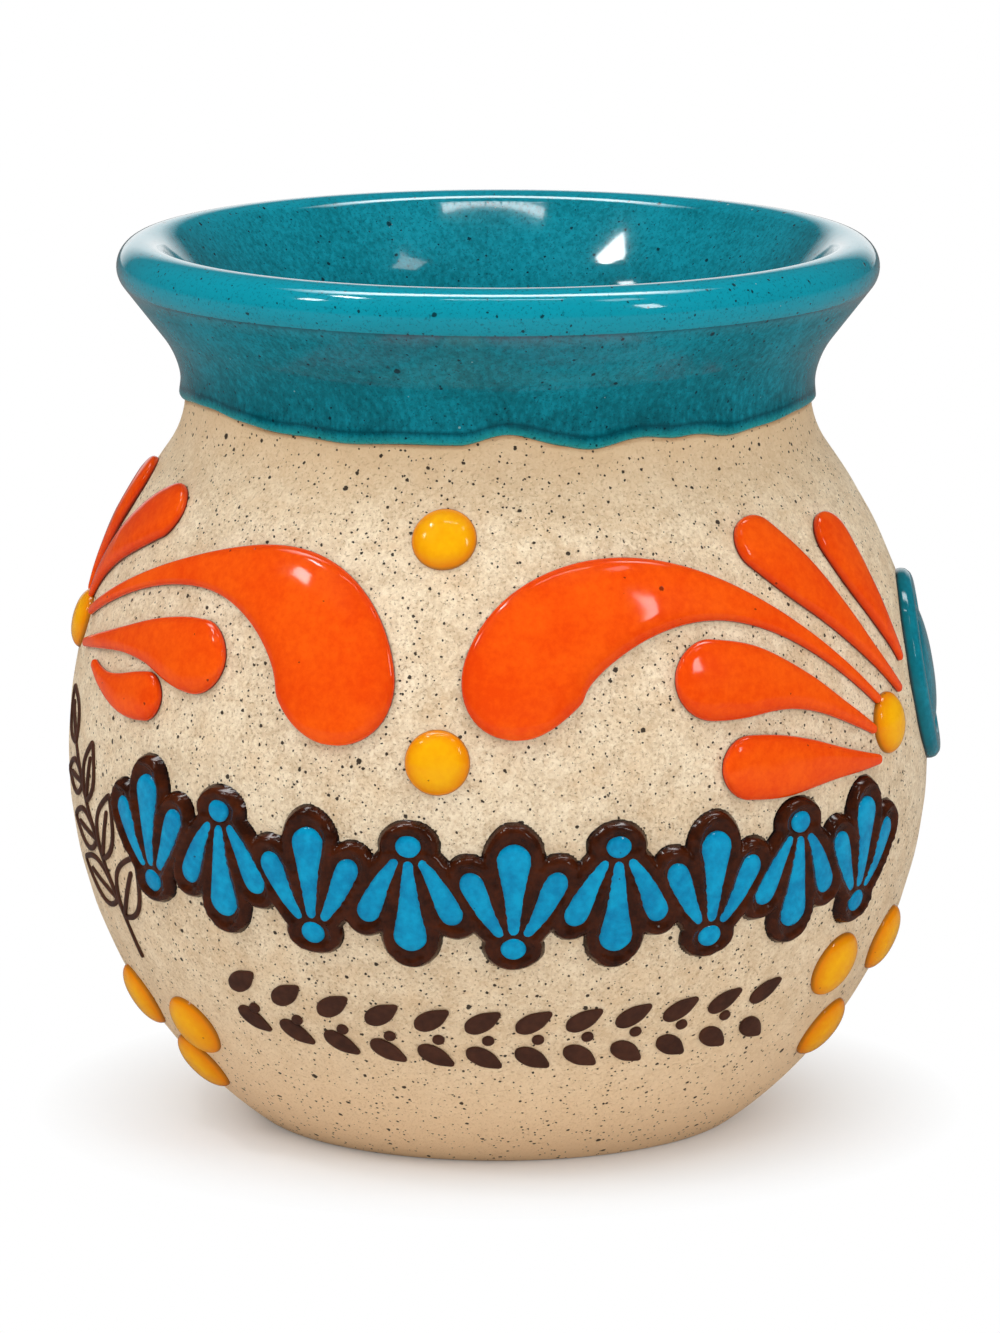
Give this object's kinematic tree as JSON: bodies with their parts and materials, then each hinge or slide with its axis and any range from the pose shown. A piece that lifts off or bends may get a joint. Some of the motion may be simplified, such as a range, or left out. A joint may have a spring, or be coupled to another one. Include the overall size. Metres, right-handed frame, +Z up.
{
  "type": "jarrito clay mug",
  "caption": "Round-bellied clay mug with a flared, glazed neck, a rounded rim, a strap handle and raised enamel petals, dots and a leaf band on the front.",
  "frame": {"origin": "centre of the foot on the surface the mug stands on", "axes": "+Z up, the decorated front faces -Y, the handle is at +Y, +X to the right seen from the front"},
  "size_m": [0.0911, 0.119, 0.092],
  "materials": {
    "speckled_clay": "matte beige stoneware with fine dark specks",
    "turquoise_glaze": "glossy turquoise glaze, darker where it pools",
    "orange_enamel": "glossy opaque orange enamel",
    "yellow_enamel": "glossy opaque yellow enamel",
    "blue_enamel": "glossy bright blue enamel",
    "brown_slip": "dark brown slip with a soft gloss"
  },
  "bodies": {
    "root": {"clay_body": "speckled_clay", "handle": "speckled_clay", "inner_glaze": "turquoise_glaze", "neck_glaze": "turquoise_glaze", "scroll_left": "orange_enamel", "scroll_right": "orange_enamel", "petal_left_outer": "orange_enamel", "petal_left_upper": "orange_enamel", "petal_left_middle": "orange_enamel", "petal_left_low": "orange_enamel", "petal_right_outer": "orange_enamel", "petal_right_upper": "orange_enamel", "petal_right_middle": "orange_enamel", "petal_right_low": "orange_enamel", "centre_dot_upper": "yellow_enamel", "centre_dot_lower": "yellow_enamel", "hub_dot_left": "yellow_enamel", "hub_dot_right": "yellow_enamel", "triad_left": "yellow_enamel", "triad_right": "yellow_enamel", "side_roundel": "turquoise_glaze", "band_ground": "brown_slip", "band_drops": "blue_enamel", "band_beads": "blue_enamel", "leaf_row": "brown_slip"}
  },
  "joints": []
}
